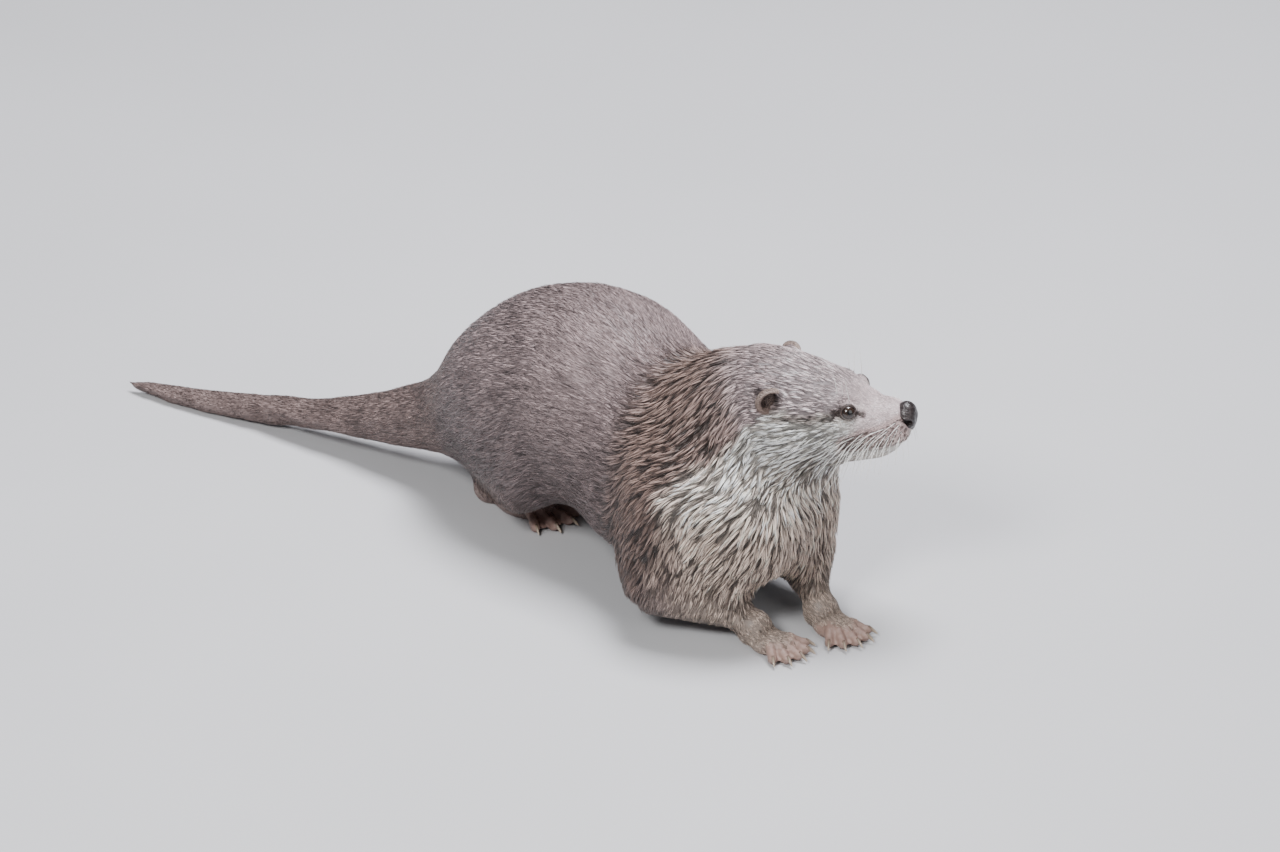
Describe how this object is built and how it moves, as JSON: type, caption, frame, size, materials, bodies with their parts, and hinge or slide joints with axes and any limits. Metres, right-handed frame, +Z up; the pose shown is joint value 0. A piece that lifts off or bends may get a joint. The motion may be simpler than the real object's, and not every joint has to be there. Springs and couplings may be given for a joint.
{
  "type": "eurasian otter figure",
  "caption": "Life-size Eurasian otter crouched on its feet, back arched, head raised and turned to its left, long tapering tail laid out behind.",
  "frame": {"origin": "on the floor under the middle of the animal's bounding box, at the level of the flats under the paws and tail", "axes": "+X the way the trunk faces (tail to chest), +Y to the otter's left, +Z up"},
  "size_m": [0.6506, 0.2322, 0.1953],
  "materials": {
    "coat": "dense fur, wet on top",
    "face_fur": "short sleek fur",
    "throat_fur": "pale fur in wet points",
    "ear_fur": "very short fur",
    "paw_skin": "bare damp skin with webs",
    "nose_leather": "damp, finely pebbled",
    "eye": "wet and glossy",
    "claw": "smooth horn"
  },
  "bodies": {
    "root": {"foreleg_right_lower": "coat", "foreleg_left_lower": "coat", "hindleg_right_lower": "coat", "hindleg_left_lower": "coat", "foreleg_right_upper": "coat", "foreleg_left_upper": "coat", "hindleg_right_upper": "coat", "hindleg_left_upper": "coat", "head": "face_fur", "neck": "throat_fur", "chest": "throat_fur", "loin": "coat", "rump": "coat", "tail_base": "coat", "tail_middle": "coat", "tail_tip": "coat", "nose_pad": "nose_leather", "eye_right": "eye", "ear_right": "ear_fur", "eye_left": "eye", "ear_left": "ear_fur", "foreleg_right_paw": "paw_skin", "foreleg_right_claw_1": "claw", "foreleg_right_claw_2": "claw", "foreleg_right_claw_3": "claw", "foreleg_right_claw_4": "claw", "foreleg_right_claw_5": "claw", "foreleg_left_paw": "paw_skin", "foreleg_left_claw_1": "claw", "foreleg_left_claw_2": "claw", "foreleg_left_claw_3": "claw", "foreleg_left_claw_4": "claw", "foreleg_left_claw_5": "claw", "hindleg_right_paw": "paw_skin", "hindleg_right_claw_1": "claw", "hindleg_right_claw_2": "claw", "hindleg_right_claw_3": "claw", "hindleg_right_claw_4": "claw", "hindleg_right_claw_5": "claw", "hindleg_left_paw": "paw_skin", "hindleg_left_claw_1": "claw", "hindleg_left_claw_2": "claw", "hindleg_left_claw_3": "claw", "hindleg_left_claw_4": "claw", "hindleg_left_claw_5": "claw"}
  },
  "joints": []
}
